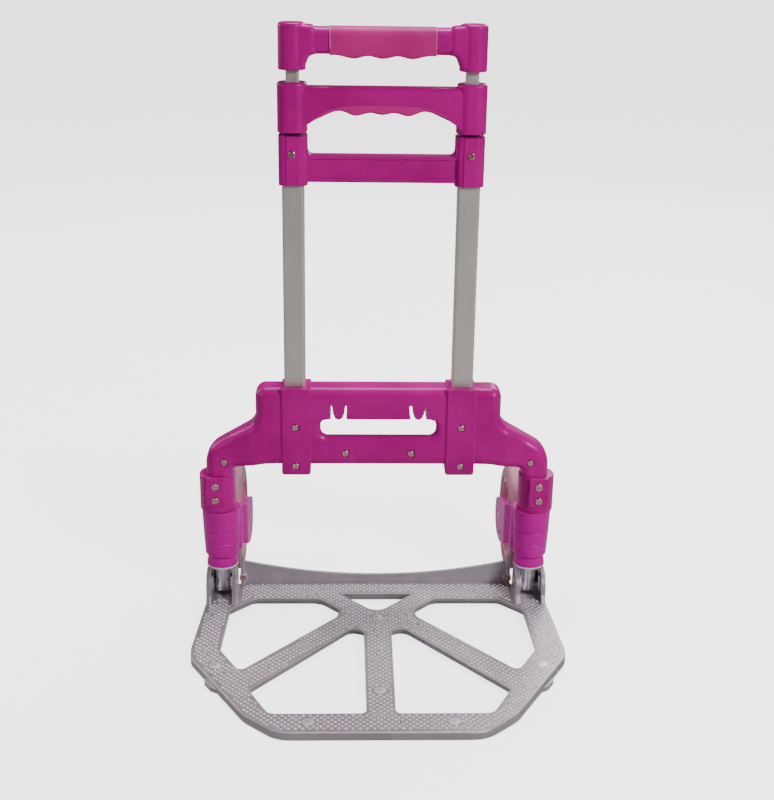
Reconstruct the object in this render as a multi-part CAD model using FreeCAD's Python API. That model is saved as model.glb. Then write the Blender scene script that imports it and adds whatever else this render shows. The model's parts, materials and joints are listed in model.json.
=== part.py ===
"""Folding luggage hand truck: aluminium toe plate and telescopic handle in a plastic body.

The front of the hand truck faces -Y, +X is its right side and +Z is up. The toe plate is
folded down, the wheels are swung out behind the legs and the handle is pushed in. The two
legs stand in the plane Y = 0 while the pieces are made, and every piece is moved back by
ORIGIN_SHIFT when it is written, so that the origin is the middle of the footprint.
"""
import FreeCAD, Part
import math
import os

V = FreeCAD.Vector
X_AXIS = V(1, 0, 0)
Y_AXIS = V(0, 1, 0)
Z_AXIS = V(0, 0, 1)

# ---------------------------------------------------------------- driving dimensions, mm
TOP_Z = 614.0             # top of the upper handle, pushed in
PLATE_FRONT = -276.5      # front edge of the toe plate
PLATE_HALF_WIDTH = 190.4  # half the width of the toe plate
PLATE_TOP = 9.0           # the toe plate is this thick at its outer rim
PLATE_SKIN = 3.2          # and this thick at the edges of its windows
WINDOW_SETBACK = 4.5      # the thicker ribs under the skin keep this far from the windows
TUBE_X = 87.0             # the telescopic tubes stand this far from the middle
OUTER_TUBE = (22.0, 19.0, 1.5)   # width, depth and wall of the outer tubes
MIDDLE_TUBE = (17.5, 14.5, 1.2)  # of the middle tubes
INNER_TUBE = (13.0, 10.0, 1.2)   # of the inner tubes
TUBE_CORNER = 2.5         # corner radius of the outer tubes
OUTER_TUBE_Z = (156.0, 500.0)
MIDDLE_TUBE_Z = (168.0, 553.0)
INNER_TUBE_Z = (172.0, 608.0)
TRAVEL = 190.0            # how far each handle slides

BODY_FRONT = -19.0        # front face of the body
BODY_BACK = 15.0          # back face of the body
BODY_TOP = 250.0
BODY_WALL = 3.0
BAR_BOTTOM = 164.0        # underside of the body between the sleeves
SLEEVE_X = (70.6, 101.0)  # the raised sleeves round the outer tubes
SLEEVE_PROUD = 1.6        # how far the sleeves stand out from the body's front
SLEEVE_BOTTOM = 154.7
SLOT_HALF = 60.2          # half length of the hand slot
SLOT_Z = (198.0, 217.0)
SLOT_CORNER = 7.5
TOOTH_X = 41.5            # the two round teeth on the slot's upper edge
TOOTH_RADIUS = 4.8        # the teeth end in a half round
NOTCH_OFFSET = 6.4        # the cord notches are cut this far each side of a tooth
NOTCH_HEIGHT = 15.0
LIP_DROP = 11.5           # the slot's lower lip is rounded down by this much at the front
LIP_DEPTH = 7.0           # over this depth, up to the sill
BACK_DROP = 11.2          # behind the sill the slot's floor falls away by this much
BODY_EDGE = 10.0          # the body's long edges are rounded by this radius

LEG_X = 167.6             # the leg tubes stand this far from the middle
LEG_RADIUS = 9.0
LEG_Z = (12.0, 146.0)
COLLAR_RADIUS = 19.0
COLLAR_Z = (110.0, 150.0)
ARM_RADIUS = 14.0         # the shoulder arm where it enters the collar
SPIGOT_BOTTOM = 116.0     # the foot of the arm inside the collar
SLEEVE_Z = (44.0, 109.6)  # the turning sleeve of the wheel bracket
RING_Z = (41.4, 43.7)     # the white ring under it
RING_RADIUS = 17.0

HINGE_Y = -10.0           # the toe plate's hinge axis
HINGE_Z = 22.0
PIN_RADIUS = 3.0

WHEEL_RADIUS = 60.0
WHEEL_Y = 82.0            # the axle, behind the legs
WHEEL_X = 161.5           # the middle of the wheel's width
WHEEL_WIDTH = 24.0
AXLE_RADIUS = 4.0

RUNNING = 0.08            # radial clearance of a shaft that turns
GAP = 0.3                 # clearance between pieces that move apart

ORIGIN_SHIFT = -(PLATE_FRONT + WHEEL_Y + WHEEL_RADIUS) / 2.0


# ---------------------------------------------------------------- small tools
def block(x0, x1, y0, y1, z0, z1):
    """A box between two corners."""
    return Part.makeBox(x1 - x0, y1 - y0, z1 - z0, V(x0, y0, z0))


def rod(radius, start, axis, length):
    """A round bar from a start point along an axis."""
    return Part.makeCylinder(radius, length, start, axis)


def ring(outer, inner, start, axis, length):
    """A round tube."""
    return rod(outer, start, axis, length).cut(rod(inner, start, axis, length))


def mirrored(shape):
    """The same shape on the other side of the hand truck."""
    return shape.mirror(V(0, 0, 0), X_AXIS)


def both_sides(shape):
    """A shape and its mirror image."""
    return [shape, mirrored(shape)]


def rounded_wire(points, radii):
    """A closed outline through corner points, each corner rounded by its own radius."""
    count = len(points)
    if not isinstance(radii, (list, tuple)):
        radii = [radii] * count
    corners = []
    for i, corner in enumerate(points):
        before = points[i - 1].sub(corner)
        after = points[(i + 1) % count].sub(corner)
        before.normalize()
        after.normalize()
        turn = before.getAngle(after)
        if radii[i] <= 0 or turn > math.radians(178):
            corners.append((corner, None, corner))
            continue
        back = radii[i] / math.tan(turn / 2)
        bisector = before.add(after)
        bisector.normalize()
        middle = corner.add(bisector.multiply(radii[i] / math.sin(turn / 2) - radii[i]))
        corners.append((corner.add(V(before).multiply(back)), middle,
                        corner.add(V(after).multiply(back))))
    edges = []
    for i, (start, middle, end) in enumerate(corners):
        if middle is not None:
            edges.append(Part.Arc(start, middle, end).toShape())
        next_start = corners[(i + 1) % count][0]
        if end.distanceToPoint(next_start) > 1e-4:
            edges.append(Part.LineSegment(end, next_start).toShape())
    return Part.Wire(edges)


def slab_xz(points, radii, y0, y1):
    """A plate standing in XZ with a rounded outline, from y0 to y1."""
    wire = rounded_wire([V(x, y0, z) for x, z in points], radii)
    return Part.Face(wire).extrude(V(0, y1 - y0, 0))


def slab_xy(points, radii, z0, z1, grow=0.0):
    """A plate lying in XY with a rounded outline, from z0 to z1, grown all round if asked."""
    wire = rounded_wire([V(x, y, z0) for x, y in points], radii)
    if grow:
        wire = wire.makeOffset2D(grow)
    return Part.Face(wire).extrude(V(0, 0, z1 - z0))


def slab_yz(points, radii, x0, x1):
    """A plate standing in YZ with a rounded outline, from x0 to x1."""
    wire = rounded_wire([V(x0, y, z) for y, z in points], radii)
    return Part.Face(wire).extrude(V(x1 - x0, 0, 0))


def symmetric(points):
    """A right half outline, given from top to bottom, and its mirror image."""
    return points + [(-x, z) for x, z in reversed(points)]


def bar_z(x, width, depth, corner, z0, z1):
    """An upright bar of rounded rectangular section, centred on (x, 0)."""
    w = width / 2
    d = depth / 2
    return slab_xy([(x - w, -d), (x + w, -d), (x + w, d), (x - w, d)], corner, z0, z1)


def tube_z(x, size, corner, z0, z1):
    """An upright rectangular tube, size giving its width, depth and wall."""
    width, depth, wall = size
    inside = bar_z(x, width - 2 * wall, depth - 2 * wall, corner - wall / 2, z0 - 1, z1 + 1)
    return bar_z(x, width, depth, corner, z0, z1).cut(inside)


def soften(shape, radius, keep):
    """Round the edges that keep() picks; a corner that cannot be rounded stays sharp."""
    edges = [edge for edge in shape.Edges if keep(edge)]
    if not edges:
        return shape
    try:
        result = shape.makeFillet(radius, edges)
    except Part.OCCError:
        return shape
    if result.isValid() and result.Volume > 0:
        return result
    return shape


def save(name, *shapes):
    """Write one node: its solids, moved so that the origin is under the middle."""
    solids = []
    for shape in shapes:
        solids.extend(shape.Solids)
    for solid in solids:
        if not solid.isValid():
            print("not valid:", name)
    whole = solids[0] if len(solids) == 1 else Part.makeCompound(solids)
    whole = whole.copy()
    whole.translate(V(0, ORIGIN_SHIFT, 0))
    whole.exportStep("parts/%s.step" % name)


# ---------------------------------------------------------------- body
BODY_SCREWS = [(86.5, 208.0, -8.0), (86.5, 164.5, -8.0), (34.5, 178.4, 10.0),
               (161.9, 165.7, 10.0)]   # x, z and where the screw ends in Y
SCREW_HEAD = 3.6
SCREW_SHANK = 1.8
RECESS_RADIUS = 4.25
RECESS_DEPTH = 1.6
SCREW_BOSS = 5.0          # posts inside the shells that the screws bite into
LOW_POCKET_FRONT = BODY_FRONT + 10.0


def body_outline():
    """Outline of the body without its sleeves: a plate with an arm at each side."""
    half = [
        (128.0, BODY_TOP, 11), (128.0, 211.0, 18), (LEG_X + ARM_RADIUS, 179.8, 30),
        (LEG_X + ARM_RADIUS, COLLAR_Z[1], 0), (LEG_X - ARM_RADIUS, COLLAR_Z[1], 0),
        (LEG_X - ARM_RADIUS, 158.0, 7), (118.0, 163.5, 40), (101.0, BAR_BOTTOM, 0),
    ]
    points = [(x, z) for x, z, _ in half]
    radii = [r for _, _, r in half]
    plate = slab_xz(symmetric(points), radii + radii[::-1], BODY_FRONT, BODY_BACK)
    plan = [(-200, BODY_BACK), (-200, -ARM_RADIUS), (-152, -ARM_RADIUS), (-134, BODY_FRONT),
            (134, BODY_FRONT), (152, -ARM_RADIUS), (200, -ARM_RADIUS), (200, BODY_BACK)]
    return plate.common(slab_xy(plan, [0, 0, 25, 25, 25, 25, 0, 0], 100, 300))


def hand_slot():
    """The hand slot with a round tooth between two cord notches at each side of its top."""
    low, high = SLOT_Z
    y0 = BODY_FRONT - 5
    y1 = BODY_BACK + 5
    slot = slab_xz([(-SLOT_HALF, low), (SLOT_HALF, low), (SLOT_HALF, high),
                    (-SLOT_HALF, high)], SLOT_CORNER, y0, y1)
    for side in (-1, 1):
        for offset in (-NOTCH_OFFSET, NOTCH_OFFSET):
            x = side * TOOTH_X + offset
            lean = 2.0 if offset > 0 else -2.0
            slot = slot.fuse(slab_xz([(x - 1.6, high - 1), (x + 1.6, high - 1),
                                      (x + lean + 1.4, high + NOTCH_HEIGHT),
                                      (x + lean - 1.4, high + NOTCH_HEIGHT)],
                                     [0, 0, 1.3, 1.3], y0, y1))
        x = side * TOOTH_X
        slot = slot.fuse(block(x - NOTCH_OFFSET, x + NOTCH_OFFSET, y0, y1, high - 1,
                               high + TOOTH_RADIUS))
        slot = slot.cut(rod(TOOTH_RADIUS, V(x, y0, high + TOOTH_RADIUS - 0.2), Y_AXIS, y1 - y0))
    sill = BODY_FRONT + LIP_DEPTH
    quarter = math.radians(45)
    middle = (LIP_DROP * (1 - math.sin(quarter)), BODY_FRONT + LIP_DEPTH * (1 - math.cos(quarter)))
    slot = slot.fuse(slot_flare([(LIP_DROP, BODY_FRONT), middle, (0.0, sill)]))
    slot = slot.fuse(slot_flare([(0.0, sill), (BACK_DROP, BODY_BACK)]))
    return slot.removeSplitter()


def slot_flare(stages):
    """Room below the slot and past its ends; stages are how far it grows at each depth."""
    low, high = SLOT_Z
    wires = []
    for grow, y in stages:
        half = SLOT_HALF + grow * 0.6
        corners = [V(-half, y, low - grow), V(half, y, low - grow), V(half, y, high - 1),
                   V(-half, y, high - 1)]
        wires.append(rounded_wire(corners, [SLOT_CORNER + grow * 0.7] * 2 + [SLOT_CORNER] * 2))
    return Part.makeLoft(wires, True)


def body_sleeve():
    """A raised sleeve of the body round one outer tube."""
    x0, x1 = SLEEVE_X
    front = BODY_FRONT - SLEEVE_PROUD
    sleeve = slab_xz([(x0, SLEEVE_BOTTOM), (x1, SLEEVE_BOTTOM), (x1, BODY_TOP), (x0, BODY_TOP)],
                     [3, 3, 0.5, 0.5], front, BODY_BACK)
    return soften(sleeve, 1.5, lambda e: e.BoundBox.YMax < front + 0.1)


def make_body():
    """Both shells of the body, split where the tubes and legs have their middle."""
    body = body_outline()
    body = soften(body, BODY_EDGE, lambda e: e.BoundBox.ZMin > COLLAR_Z[1] - 0.1
                  and e.BoundBox.ZMax > COLLAR_Z[1] + 0.1
                  and max(e.BoundBox.XLength, e.BoundBox.ZLength) > 0.1)
    body = body.cut(hand_slot())
    for sleeve in both_sides(body_sleeve()):
        body = body.fuse(sleeve)
    for spigot in both_sides(rod(ARM_RADIUS, V(LEG_X, 0, SPIGOT_BOTTOM), Z_AXIS,
                                  COLLAR_Z[1] - SPIGOT_BOTTOM)):
        body = body.fuse(spigot)
    inside = BODY_BACK - BODY_WALL
    pockets = [block(-66, 66, BODY_FRONT + BODY_WALL, inside, 236, 244),
               block(-66, 66, LOW_POCKET_FRONT, inside, 168, 180)]
    pockets += both_sides(block(105, 124, BODY_FRONT + BODY_WALL, inside, 169, 245))
    for pocket in pockets:
        body = body.cut(pocket)
    for x, z, end in BODY_SCREWS:
        if end > 0 and x < SLEEVE_X[0]:
            boss = rod(SCREW_BOSS, V(x, LOW_POCKET_FRONT, z), Y_AXIS, inside - LOW_POCKET_FRONT)
            for post in both_sides(boss):
                body = body.fuse(post)
        front = screw_face(x)
        cuts = rod(SCREW_SHANK, V(x, front, z), Y_AXIS, end - front)
        recess = rod(RECESS_RADIUS, V(x, front - 1, z), Y_AXIS, RECESS_DEPTH + 1)
        for cut in both_sides(cuts) + both_sides(recess):
            body = body.cut(cut)
    width, depth, _ = OUTER_TUBE
    tube_room = bar_z(TUBE_X, width, depth, TUBE_CORNER, OUTER_TUBE_Z[0], BODY_TOP + 1)
    leg_room = rod(LEG_RADIUS, V(LEG_X, 0, 100), Z_AXIS, LEG_Z[1] - 100)
    for room in both_sides(tube_room) + both_sides(leg_room):
        body = body.cut(room)
    front_half = body.common(block(-250, 250, -60, 0, 0, 400))
    back_half = body.common(block(-250, 250, 0, 60, 0, 400))
    save("body_front_shell", front_half)
    save("body_back_shell", back_half)


def screw_face(x):
    """Where the body's front face is at a screw: the sleeves stand proud."""
    on_sleeve = SLEEVE_X[0] < x < SLEEVE_X[1]
    if on_sleeve:
        return BODY_FRONT - SLEEVE_PROUD
    return -ARM_RADIUS if x > 150 else BODY_FRONT


def pan_screw(x, face, z, end, head=SCREW_HEAD, shank=SCREW_SHANK):
    """A domed screw driven along +Y; its head sits on the face and is cross recessed."""
    dome = rod(head, V(x, face - 1.5, z), Y_AXIS, 1.5)
    dome = soften(dome, 0.9, lambda e: e.BoundBox.YMax < face - 1.4)
    screw = dome.fuse(rod(shank, V(x, face, z), Y_AXIS, end - face))
    arm = 0.62 * head
    for dx, dz in ((arm, 0.45), (0.45, arm)):
        screw = screw.cut(block(x - dx, x + dx, face - 2, face - 0.7, z - dz, z + dz))
    return screw


def make_body_screws():
    """The screws that hold the two shells and the tubes together."""
    screws = []
    for x, z, end in BODY_SCREWS:
        face = screw_face(x) + RECESS_DEPTH
        screws += both_sides(pan_screw(x, face, z, end))
    save("body_screws", *screws)


# ---------------------------------------------------------------- tubes and crossbar
CLAMP_X = (72.5, 101.1)
CLAMP_Z = (459.5, 507.6)
CLAMP_HALF_DEPTH = 14.0
BAND_HALF = 7.0           # half width of the raised band down a clamp's front
BAND_PROUD = 1.0
CROSSBAR_Z = (462.8, 488.4)
CROSSBAR_HALF_DEPTH = 9.0
CLAMP_SCREW = (87.6, 490.4)
BUSH_TOP = 509.9
BUSH_NECK = (19.1, 16.1)
SLIDE = 0.15              # clearance round a sliding tube
GLIDE_HEIGHT = 30.0


def make_frame_tubes():
    """Outer tubes with their foot plugs."""
    width, depth, wall = OUTER_TUBE
    tube = tube_z(TUBE_X, OUTER_TUBE, TUBE_CORNER, *OUTER_TUBE_Z)
    holes = [(x, z) for x, z, end in BODY_SCREWS if end < 0] + [CLAMP_SCREW]
    for x, z in holes:
        tube = tube.cut(rod(SCREW_SHANK, V(x, -depth, z), Y_AXIS, depth))
    plug = bar_z(TUBE_X, width - 2 * wall, depth - 2 * wall, TUBE_CORNER - wall / 2,
                 OUTER_TUBE_Z[0], OUTER_TUBE_Z[0] + 7)
    for side, piece, foot in (("right", tube, plug), ("left", mirrored(tube), mirrored(plug))):
        save("outer_tube_" + side, piece)
        save("tube_plug_" + side, foot)


def make_crossbar():
    """The bar that ties the outer tubes together, with a clamp at each end."""
    x0, x1 = CLAMP_X
    z0, z1 = CLAMP_Z
    deep = CLAMP_HALF_DEPTH
    clamp = slab_xy([(x0, -deep), (x1, -deep), (x1, deep), (x0, deep)], [7, 7, 7, 7], z0, z1)
    middle = (x0 + x1) / 2
    band = slab_xy([(middle - BAND_HALF, -deep - BAND_PROUD), (middle + BAND_HALF, -deep - BAND_PROUD),
                    (middle + BAND_HALF, -deep + 4), (middle - BAND_HALF, -deep + 4)],
                   [1, 1, 0, 0], z0, z1)
    clamp = clamp.fuse(band).removeSplitter()
    clamp = soften(clamp, 1.2, lambda e: e.BoundBox.ZLength < 0.1)
    half = CROSSBAR_HALF_DEPTH
    bar = block(-x0 - 2, x0 + 2, -half, half, *CROSSBAR_Z)
    bar = bar.fuse(block(-x0 - 2, x0 + 2, -half - 1.2, half, CROSSBAR_Z[1] - 3, CROSSBAR_Z[1]))
    bar = bar.fuse(block(-x0 - 2, x0 + 2, -half - 1.2, half, CROSSBAR_Z[0], CROSSBAR_Z[0] + 2.5))
    for side in (-1, 1):
        corner = block(min(side * x0, side * (x0 - 5)), max(side * x0, side * (x0 - 5)),
                       -half, half, CROSSBAR_Z[1], CROSSBAR_Z[1] + 5)
        bar = bar.fuse(corner.cut(rod(5, V(side * (x0 - 5), -half, CROSSBAR_Z[1] + 5), Y_AXIS,
                                      2 * half)))
    crossbar = bar.fuse(both_sides(clamp)).removeSplitter()
    width, depth, _ = OUTER_TUBE
    room = bar_z(TUBE_X, width, depth, TUBE_CORNER, z0 - 1, z1 + 1)
    x, z = CLAMP_SCREW
    room = room.fuse(rod(SCREW_SHANK, V(x, -deep - 2, z), Y_AXIS, deep))
    crossbar = crossbar.cut(both_sides(room))
    save("crossbar", crossbar)
    save("crossbar_screws", *both_sides(pan_screw(x, -deep - BAND_PROUD, z,
                                                  -depth / 2 + OUTER_TUBE[2])))


def make_bushes():
    """The plastic bush that fills the top of each clamp and guides the middle tube."""
    width, depth, wall = OUTER_TUBE
    top = OUTER_TUBE_Z[1]
    bush = bar_z(TUBE_X, width, depth, TUBE_CORNER, top, CLAMP_Z[1])
    bush = bush.fuse(bar_z(TUBE_X, width - 2 * wall, depth - 2 * wall, TUBE_CORNER - wall / 2,
                           top - 10, top))
    bush = bush.fuse(bar_z(TUBE_X, BUSH_NECK[0], BUSH_NECK[1], TUBE_CORNER, CLAMP_Z[1], BUSH_TOP))
    bore = bar_z(TUBE_X, MIDDLE_TUBE[0] + 2 * SLIDE, MIDDLE_TUBE[1] + 2 * SLIDE, 1.6,
                 top - 11, BUSH_TOP + 1)
    bush = bush.cut(bore)
    save("tube_bush_right", bush)
    save("tube_bush_left", mirrored(bush))


def sliding_tube(name, size, corner, z_range, outer):
    """A sliding tube and the glide that centres its foot in the tube outside it."""
    width, depth, wall = outer
    tube = tube_z(TUBE_X, size, corner, *z_range)
    z0 = z_range[0]
    glide = bar_z(TUBE_X, width - 2 * wall - 2 * SLIDE, depth - 2 * wall - 2 * SLIDE, 2.0,
                  z0 - 2, z0 + GLIDE_HEIGHT)
    glide = glide.cut(bar_z(TUBE_X, size[0], size[1], corner, z0, z0 + GLIDE_HEIGHT + 1))
    if name == "middle":
        room = bar_z(TUBE_X, INNER_TUBE[0] - 1, INNER_TUBE[1] - 1, 1.0, z0 - 3, z0 + 1)
        glide = glide.cut(room)
    for side, piece, foot in (("right", tube, glide), ("left", mirrored(tube), mirrored(glide))):
        save("%s_tube_%s" % (name, side), piece)
        save("%s_glide_%s" % (name, side), foot)


# ---------------------------------------------------------------- handles
LOWER_BOSS_Z = (510.4, 558.4)
LOWER_BAR_TOP = 554.9
LOWER_BAR_HALF_DEPTH = 12.0
INSERT_HALF = 66.0        # half length of the soft insert under the lower handle
UPPER_BOSS_Z = (570.0, TOP_Z)
UPPER_BAR_Z = (584.3, 610.8)
UPPER_BAR_HALF_DEPTH = 13.0
GRIP_HALF = 50.7          # half length of the soft grip on the upper handle
GRIP_CORE = 7.5           # the moulding inside the grip is this far from its middle
LOWER_WAVE = [(0, 528.4), (11.6, 530.2), (25.9, 527.4), (39.6, 531.7), (55.3, 527.5),
              (73.7, 520.4)]
INSERT_TOP = [(0, 537.6), (20, 537.4), (40, 535.6), (55, 531.2), (INSERT_HALF, 524.2)]
GRIP_WAVE = [(0, 581.4), (14.5, 584.0), (27, 581.4), (40.5, 584.0), (GRIP_HALF, 584.3)]


def wave_edge(half, y):
    """A smooth curve through a right half's points and their mirror images."""
    points = [V(-x, y, z) for x, z in reversed(half[1:])] + [V(x, y, z) for x, z in half]
    curve = Part.BSplineCurve()
    curve.interpolate(points)
    return curve.toShape(), points[0], points[-1]


def under_wave(half, z_far, depth):
    """Everything from a wavy line to a level line, through a bar's whole depth."""
    edge, left, right = wave_edge(half, -depth)
    corner_right = V(right.x, -depth, z_far)
    corner_left = V(left.x, -depth, z_far)
    wire = Part.Wire([edge, Part.LineSegment(right, corner_right).toShape(),
                      Part.LineSegment(corner_right, corner_left).toShape(),
                      Part.LineSegment(corner_left, left).toShape()])
    return Part.Face(wire).extrude(V(0, 2 * depth, 0))


def round_bar(half_length, half_depth, z0, z1, radii):
    """A level bar along X whose section is a rectangle with rounded corners."""
    return slab_yz([(-half_depth, z0), (half_depth, z0), (half_depth, z1), (-half_depth, z1)],
                   radii, -half_length, half_length)


def handle_boss(x0, x1, half_depth, corner, z0, z1, edge):
    """The upright socket at a handle's end."""
    boss = slab_xy([(x0, -half_depth), (x1, -half_depth), (x1, half_depth), (x0, half_depth)],
                   corner, z0, z1)
    boss = soften(boss, edge, lambda e: e.BoundBox.ZMin > z1 - 0.1)
    return soften(boss, 1.0, lambda e: e.BoundBox.ZMax < z0 + 0.1)


def make_lower_handle():
    """The lower handle, its soft insert and the middle tubes."""
    z0, z1 = LOWER_BOSS_Z
    deep = LOWER_BAR_HALF_DEPTH
    reach = LOWER_WAVE[-1][0] + 2
    bar = under_wave(LOWER_WAVE, LOWER_BAR_TOP, deep + 1)
    bar = bar.common(round_bar(reach, deep, z0, LOWER_BAR_TOP, [1, 1, 8, 8]))
    bar = soften(bar, 3.0, lambda e: e.BoundBox.YLength < 0.1 and e.BoundBox.ZMax < 540
                 and e.BoundBox.XLength > 100)
    insert_space = under_wave(INSERT_TOP, z0, deep + 2)
    insert = bar.common(insert_space)
    bar = bar.cut(insert_space)
    boss = handle_boss(72.7, 102.0, 14.0, 11.5, z0, z1, 2.5)
    gusset = slab_xz([(64.0, 524.0), (74.0, 518.0), (80.0, 512.0), (80.0, 554.0), (64.0, 554.0)],
                     [4, 4, 0, 0, 0], -deep, deep)
    gusset = gusset.common(round_bar(90, deep, z0, LOWER_BAR_TOP, [1, 1, 8, 8]))
    boss = boss.fuse(gusset.cut(insert_space))
    handle = bar.fuse(both_sides(boss)).removeSplitter()
    middle = bar_z(TUBE_X, MIDDLE_TUBE[0], MIDDLE_TUBE[1], 2.0, z0 - 1, MIDDLE_TUBE_Z[1])
    inner = bar_z(TUBE_X, INNER_TUBE[0] + 2 * GAP, INNER_TUBE[1] + 2 * GAP, 1.8, z0, z1 + 1)
    handle = handle.cut(both_sides(middle) + both_sides(inner))
    insert = insert.cut(both_sides(boss))
    save("lower_handle", handle)
    save("lower_grip_insert", insert)
    sliding_tube("middle", MIDDLE_TUBE, 2.0, MIDDLE_TUBE_Z, OUTER_TUBE)


def make_upper_handle():
    """The upper handle, its soft grip and the inner tubes."""
    z0, z1 = UPPER_BOSS_Z
    low, high = UPPER_BAR_Z
    deep = UPPER_BAR_HALF_DEPTH
    middle_z = (low + high) / 2
    core = round_bar(GRIP_HALF, GRIP_CORE, middle_z - GRIP_CORE, middle_z + GRIP_CORE, 3)
    outer = round_bar(GRIP_HALF, deep, low - 5, high, [9, 9, 9, 9])
    grip = under_wave(GRIP_WAVE, high, deep + 1).common(outer)
    grip = grip.cut(core)
    handle = core
    for side in (-1, 1):
        x0 = min(side * GRIP_HALF, side * 80)
        neck = slab_yz([(-deep + 1, low + 0.6), (deep - 1, low + 0.6), (deep - 1, high - 0.6),
                        (-deep + 1, high - 0.6)], 8, x0, x0 + 80 - GRIP_HALF)
        handle = handle.fuse(neck)
    boss = handle_boss(73.9, 100.7, 14.0, 12.0, z0, z1, 3.0)
    shoulder = slab_xz([(64.0, 611.2), (64.0, 584.9), (70.0, 584.3), (75.5, 570.6),
                        (84.0, 570.6), (84.0, 613.2)], [6, 0, 7, 2, 0, 0], -deep, deep)
    shoulder = soften(shoulder, 5.0, lambda e: abs(e.BoundBox.YLength) < 0.1
                      and e.BoundBox.XMin < 76)
    boss = boss.fuse(shoulder)
    handle = handle.fuse(both_sides(boss)).removeSplitter()
    room = bar_z(TUBE_X, INNER_TUBE[0], INNER_TUBE[1], 2.0, z0 - 1, INNER_TUBE_Z[1])
    handle = handle.cut(both_sides(room))
    save("upper_handle", handle)
    save("upper_grip", grip)
    sliding_tube("inner", INNER_TUBE, 2.0, INNER_TUBE_Z, MIDDLE_TUBE)


# ---------------------------------------------------------------- legs
COLLAR_X = 170.6          # the collar stands a little outside the leg
COLLAR_SCREWS = [(171.5, 140.5), (172.0, 124.6)]
CHEEK = (9.3, 11.3)       # inner and outer face of the hinge bracket's cheeks
CHEEK_Z = (12.0, 40.0)
RIVET_Z = 33.5
RIVET_RADIUS = 2.5


def make_leg():
    """One leg: tube, collar, hinge bracket, rivet and the white ring; both sides alike."""
    tube = ring(LEG_RADIUS, LEG_RADIUS - 1.5, V(LEG_X, 0, LEG_Z[0]), Z_AXIS,
                LEG_Z[1] - LEG_Z[0])
    rivet = rod(RIVET_RADIUS, V(LEG_X - CHEEK[1], 0, RIVET_Z), X_AXIS, 2 * CHEEK[1])
    tube = tube.cut(rivet)
    z0, z1 = COLLAR_Z
    collar = rod(COLLAR_RADIUS, V(COLLAR_X, 0, z0), Z_AXIS, z1 - z0)
    collar = collar.fuse(block(COLLAR_X - 9, COLLAR_X + 11, -COLLAR_RADIUS - 0.6, 0, z0 + 8, z1))
    collar = collar.removeSplitter()
    collar = soften(collar, 1.5, lambda e: e.BoundBox.ZMin > z1 - 0.1)
    collar = collar.cut(rod(ARM_RADIUS, V(LEG_X, 0, SPIGOT_BOTTOM), Z_AXIS, z1))
    collar = collar.cut(rod(LEG_RADIUS, V(LEG_X, 0, z0 - 1), Z_AXIS, z1))
    face = -COLLAR_RADIUS - 0.6
    screws = []
    for x, z in COLLAR_SCREWS:
        screws.append(pan_screw(x, face, z, -ARM_RADIUS - 0.6, head=4.0))
        collar = collar.cut(rod(SCREW_SHANK, V(x, face - 1, z), Y_AXIS, 1 - face - ARM_RADIUS - 0.6))
    bracket = make_hinge_bracket().cut(rivet)
    washer = ring(RING_RADIUS, LEG_RADIUS, V(LEG_X, 0, RING_Z[0]), Z_AXIS, RING_Z[1] - RING_Z[0])
    washer = soften(washer, 0.8, lambda e: abs(e.BoundBox.XLength - 2 * RING_RADIUS) < 0.1)
    for side, turn in (("right", lambda s: s), ("left", mirrored)):
        save("leg_tube_" + side, turn(tube))
        save("leg_collar_" + side, turn(collar))
        save("leg_rivet_" + side, turn(rivet))
        save("leg_ring_" + side, turn(washer))
        save("hinge_bracket_" + side, turn(bracket))
    save("collar_screws", *[s for screw in screws for s in both_sides(screw)])


def make_hinge_bracket():
    """A bent steel plate round the leg foot: two cheeks and a web behind the tube."""
    inner, outer = CHEEK
    z0, z1 = CHEEK_Z
    outline = [(-17.0, 17.0), (-17.0, 35.0), (-10.0, z1), (11.0, z1), (11.0, z0), (-13.0, z0)]
    bracket = block(LEG_X - outer, LEG_X + outer, LEG_RADIUS, LEG_RADIUS + 2.0, z0, z1)
    for x0 in (LEG_X - outer, LEG_X + inner):
        bracket = bracket.fuse(slab_yz(outline, [5, 6, 5, 0, 0, 5], x0, x0 + outer - inner))
        hole = rod(PIN_RADIUS + RUNNING, V(x0 - 1, HINGE_Y, HINGE_Z), X_AXIS, outer - inner + 2)
        bracket = bracket.cut(hole)
    return bracket.removeSplitter()


# ---------------------------------------------------------------- wheel brackets and wheels
SWING_PROFILE = [(17.0, SLEEVE_Z[0]), (16.6, 47.0), (15.2, 53.5), (18.2, 57.0), (18.4, 60.0),
                 (19.0, 71.0), (19.6, 85.0), (20.4, 104.0), (20.6, SLEEVE_Z[1])]
GROOVES = (58.0, 71.8, 85.7)
ARM_X = (141.0, 147.0)    # the arm that carries the axle, inboard of the wheel
ARM_END = 23.0
BOLT_HEAD = 6.5


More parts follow.
